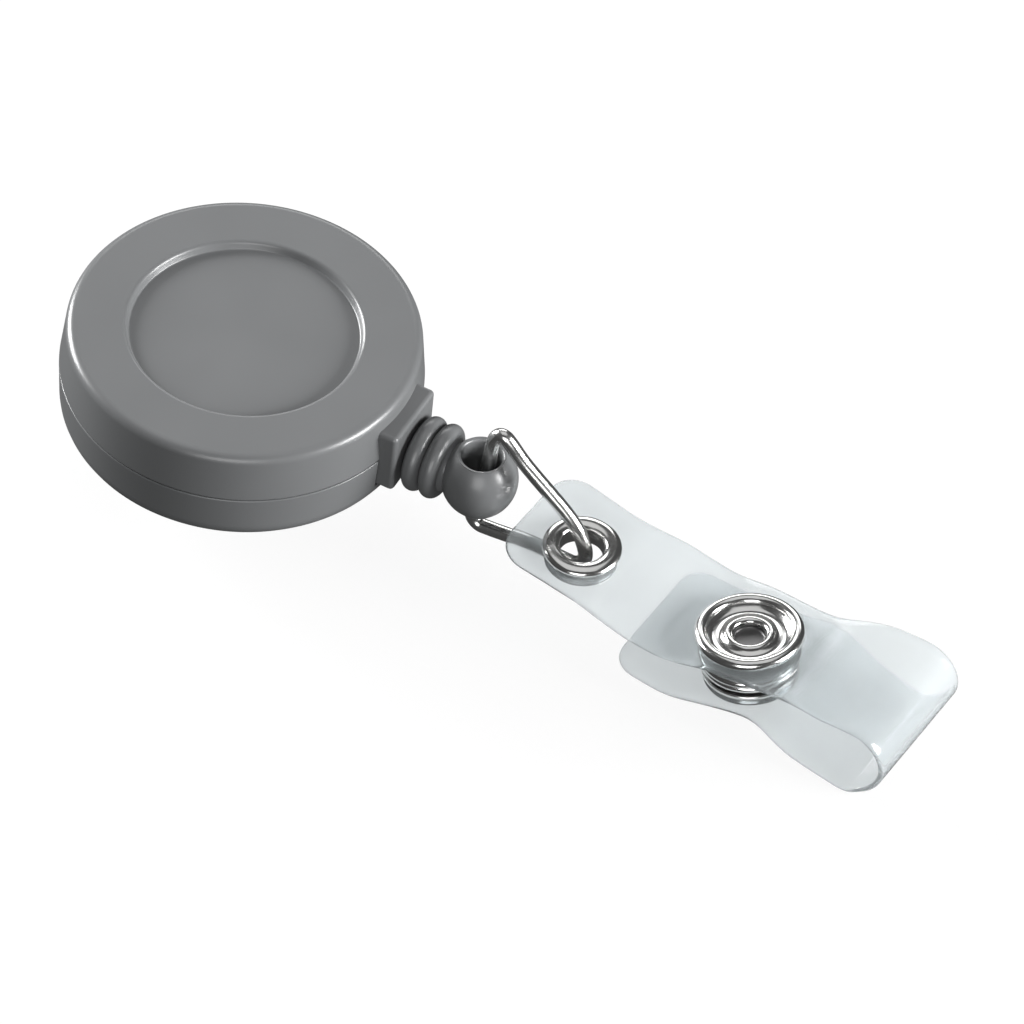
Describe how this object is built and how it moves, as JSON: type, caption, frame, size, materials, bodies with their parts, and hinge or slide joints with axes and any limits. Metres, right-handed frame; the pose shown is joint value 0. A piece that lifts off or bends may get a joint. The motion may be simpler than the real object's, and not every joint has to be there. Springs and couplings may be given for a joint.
{
  "type": "retractable badge reel",
  "caption": "Round reel whose sprung cord ends in a ball, with a wire link, a clear strap closed by a ring snap, and a belt clip on the back.",
  "frame": {"origin": "centre of the label recess's floor, on the spool's axis", "axes": "+X along the cord as it leaves the case, +Z out of the case's face, +Y across"},
  "size_m": [0.0864, 0.033, 0.0182],
  "materials": {
    "grey_plastic": "satin moulded grey",
    "white_plastic": "moulded acetal",
    "nylon_cord": "braided nylon",
    "clear_vinyl": "flexible clear vinyl",
    "plated_steel": "bright nickel plate",
    "spring_steel": "tempered spring strip"
  },
  "bodies": {
    "case": {"front_case": "grey_plastic", "rear_case": "grey_plastic", "mainspring": "spring_steel", "cord_run": "nylon_cord", "belt_clip_base": "plated_steel", "clip_rivet": "plated_steel"},
    "clip_leaf": {"belt_clip_leaf": "plated_steel"},
    "spool": {"spool": "white_plastic", "spring_cover": "white_plastic", "cord_wound": "nylon_cord"},
    "cord": {"cord_lead": "nylon_cord", "cord_knot": "nylon_cord"},
    "cord_end": {"cord_end": "grey_plastic"},
    "link": {"wire_link": "plated_steel"},
    "strap": {"strap_upper": "clear_vinyl", "eyelet_barrel": "plated_steel", "eyelet_washer": "plated_steel", "snap_cap": "plated_steel", "snap_socket": "plated_steel", "socket_spring": "spring_steel"},
    "strap_tab": {"strap_lower": "clear_vinyl", "snap_stud": "plated_steel", "stud_flange": "plated_steel"}
  },
  "joints": [
    {"name": "cord_pull", "type": "slide", "parent": "case", "child": "cord", "axis": [1, 0, 0], "range_m": [0, 0.85], "stiffness_N_per_m": 1, "springref_m": -0.6},
    {"name": "spool_spin", "type": "hinge", "parent": "case", "child": "spool", "pos_m": [0, 0, -0.005], "axis": [0, 0, 1], "range_deg": [0, 5400]},
    {"name": "end_twist", "type": "hinge", "parent": "cord", "child": "cord_end", "pos_m": [0.0203, 0, -0.00524], "axis": [1, 0, 0], "range_deg": [-180, 180]},
    {"name": "link_swing", "type": "hinge", "parent": "cord_end", "child": "link", "pos_m": [0.0248, 0, -0.00524], "axis": [0, 0, 1], "range_deg": [-90, 90]},
    {"name": "strap_swing", "type": "hinge", "parent": "link", "child": "strap", "pos_m": [0.0353, 0, -0.00885], "axis": [0, 0, 1], "range_deg": [-50, 50]},
    {"name": "tab_open", "type": "hinge", "parent": "strap", "child": "strap_tab", "pos_m": [0.06955, 0, -0.0121], "axis": [-0.0896, -0.996, 0], "range_deg": [0, 180]},
    {"name": "clip_flex", "type": "hinge", "parent": "case", "child": "clip_leaf", "pos_m": [-0.0128, 0, -0.0132], "axis": [0, 1, 0], "range_deg": [0, 8], "stiffness_Nm_per_rad": 1.2}
  ],
  "couplings": [
    {"joint": "spool_spin", "follows": "cord_pull", "rad_per_m": 92.4}
  ]
}
